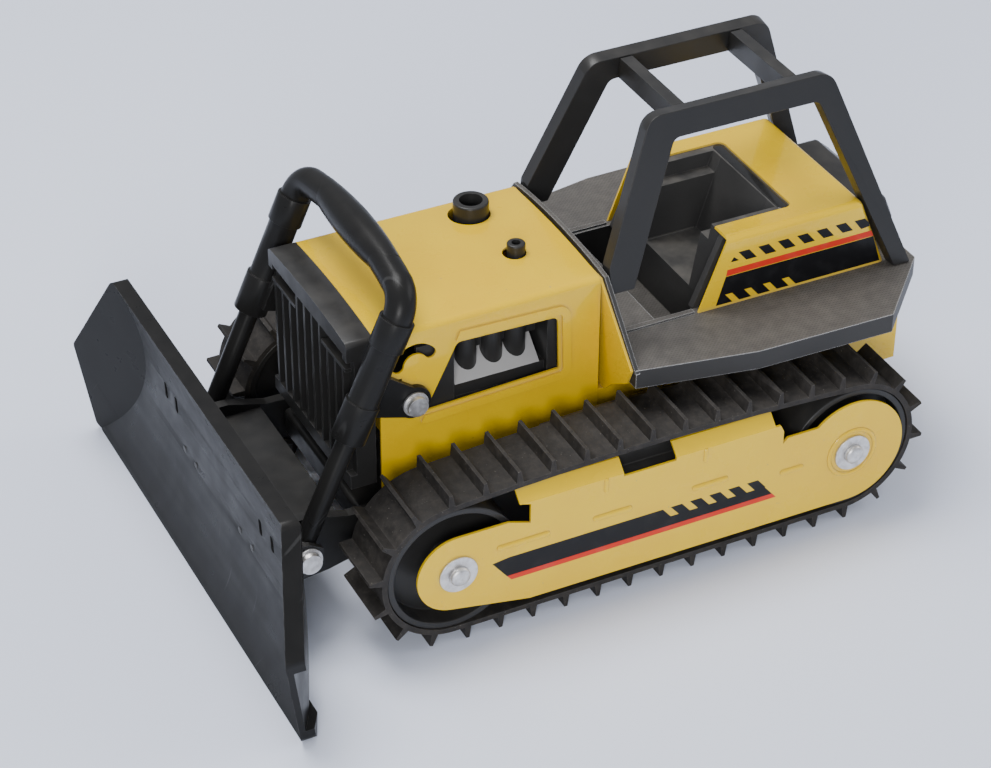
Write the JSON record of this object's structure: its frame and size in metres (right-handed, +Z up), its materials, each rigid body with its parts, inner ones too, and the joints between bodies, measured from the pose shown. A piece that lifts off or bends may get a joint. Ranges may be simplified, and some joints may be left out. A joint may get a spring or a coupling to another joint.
{
  "type": "toy_bulldozer",
  "caption": "Pressed-steel toy bulldozer in yellow and black with a lifting blade, rubber tracks on turning wheels, an open seat under a roll cage and a lift handle",
  "frame": {"origin": "on the ground under the centre of the whole toy's plan outline, blade down", "axes": "+Z up; -Y towards the blade; +X towards the machine's left-hand side"},
  "size_m": [0.2958, 0.4044, 0.2297],
  "materials": {
    "yellow_paint": "gloss paint on pressed steel",
    "black_paint": "satin paint",
    "gloss_black_plastic": "glossy, lightly scratched",
    "black_plastic": "matte",
    "grained_plastic": "matte, fine grain, dusty",
    "track_rubber": "matte, dusty",
    "silver_plastic": "silver, matte",
    "zinc": "zinc-plated"
  },
  "bodies": {
    "chassis": {"axle_spacers": "zinc", "cab_tub": "grained_plastic", "cowl": "yellow_paint", "cylinder_heads": "black_plastic", "engine_block": "silver_plastic", "engine_tray": "black_plastic", "exhaust_stack": "black_plastic", "front_axle": "zinc", "front_plate": "black_plastic", "grille": "black_plastic", "hood": "yellow_paint", "hub_nuts": "zinc", "hub_washers": "zinc", "intake_stack": "black_plastic", "main_frame": "yellow_paint", "pivot_bolts": "zinc", "rear_axle": "zinc", "rear_block": "black_plastic", "rear_cover": "yellow_paint", "roll_bar_front": "black_plastic", "roll_bar_rear": "black_plastic", "roll_hoop_left": "black_plastic", "roll_hoop_right": "black_plastic", "seat": "black_plastic", "track_belt_left": "track_rubber", "track_belt_right": "track_rubber", "track_guide_left": "black_plastic", "track_guide_right": "black_plastic", "track_plate_inner_left": "black_paint", "track_plate_inner_right": "black_paint", "track_plate_left": "yellow_paint", "track_plate_right": "yellow_paint"},
    "front_wheel_left": {"front_wheel_left": "black_plastic"},
    "front_wheel_right": {"front_wheel_right": "black_plastic"},
    "rear_wheel_left": {"rear_wheel_left": "black_plastic"},
    "rear_wheel_right": {"rear_wheel_right": "black_plastic"},
    "blade_assembly": {"push_frame": "black_paint", "blade": "gloss_black_plastic", "blade_screws": "zinc", "rod_bolts": "zinc"},
    "handle": {"lift_handle": "gloss_black_plastic", "lift_barrel_left": "gloss_black_plastic", "lift_barrel_right": "gloss_black_plastic"},
    "rod_left": {"lift_rod_left": "gloss_black_plastic"},
    "rod_right": {"lift_rod_right": "gloss_black_plastic"}
  },
  "joints": [
    {"name": "front_wheel_left_turn", "type": "hinge", "parent": "chassis", "child": "front_wheel_left", "pos_m": [0.0886, -0.094, 0.0465], "axis": [1, 0, 0], "continuous": true},
    {"name": "rear_wheel_left_turn", "type": "hinge", "parent": "chassis", "child": "rear_wheel_left", "pos_m": [0.0886, 0.134, 0.0465], "axis": [1, 0, 0], "continuous": true},
    {"name": "front_wheel_right_turn", "type": "hinge", "parent": "chassis", "child": "front_wheel_right", "pos_m": [-0.0886, -0.094, 0.0465], "axis": [1, 0, 0], "continuous": true},
    {"name": "rear_wheel_right_turn", "type": "hinge", "parent": "chassis", "child": "rear_wheel_right", "pos_m": [-0.0886, 0.134, 0.0465], "axis": [1, 0, 0], "continuous": true},
    {"name": "blade_lift", "type": "hinge", "parent": "chassis", "child": "blade_assembly", "pos_m": [0, -0.094, 0.0465], "axis": [-1, 0, 0], "range_deg": [0, 22]},
    {"name": "handle_tilt", "type": "hinge", "parent": "chassis", "child": "handle", "pos_m": [0, -0.09, 0.112], "axis": [-1, 0, 0], "range_deg": [0, 4.6]},
    {"name": "rod_slide_left", "type": "slide", "parent": "handle", "child": "rod_left", "axis": [0, 0.4068, 0.9135], "range_m": [0, 0.0206]},
    {"name": "rod_slide_right", "type": "slide", "parent": "handle", "child": "rod_right", "axis": [0, 0.4068, 0.9135], "range_m": [0, 0.0206]}
  ],
  "couplings": [
    {"joint": "rear_wheel_left_turn", "follows": "front_wheel_left_turn", "ratio": 1},
    {"joint": "rear_wheel_right_turn", "follows": "front_wheel_right_turn", "ratio": 1},
    {"joint": "handle_tilt", "follows": "blade_lift", "ratio": 0.2061},
    {"joint": "rod_slide_left", "follows": "blade_lift", "m_per_rad": 0.053485},
    {"joint": "rod_slide_right", "follows": "blade_lift", "m_per_rad": 0.053485}
  ]
}
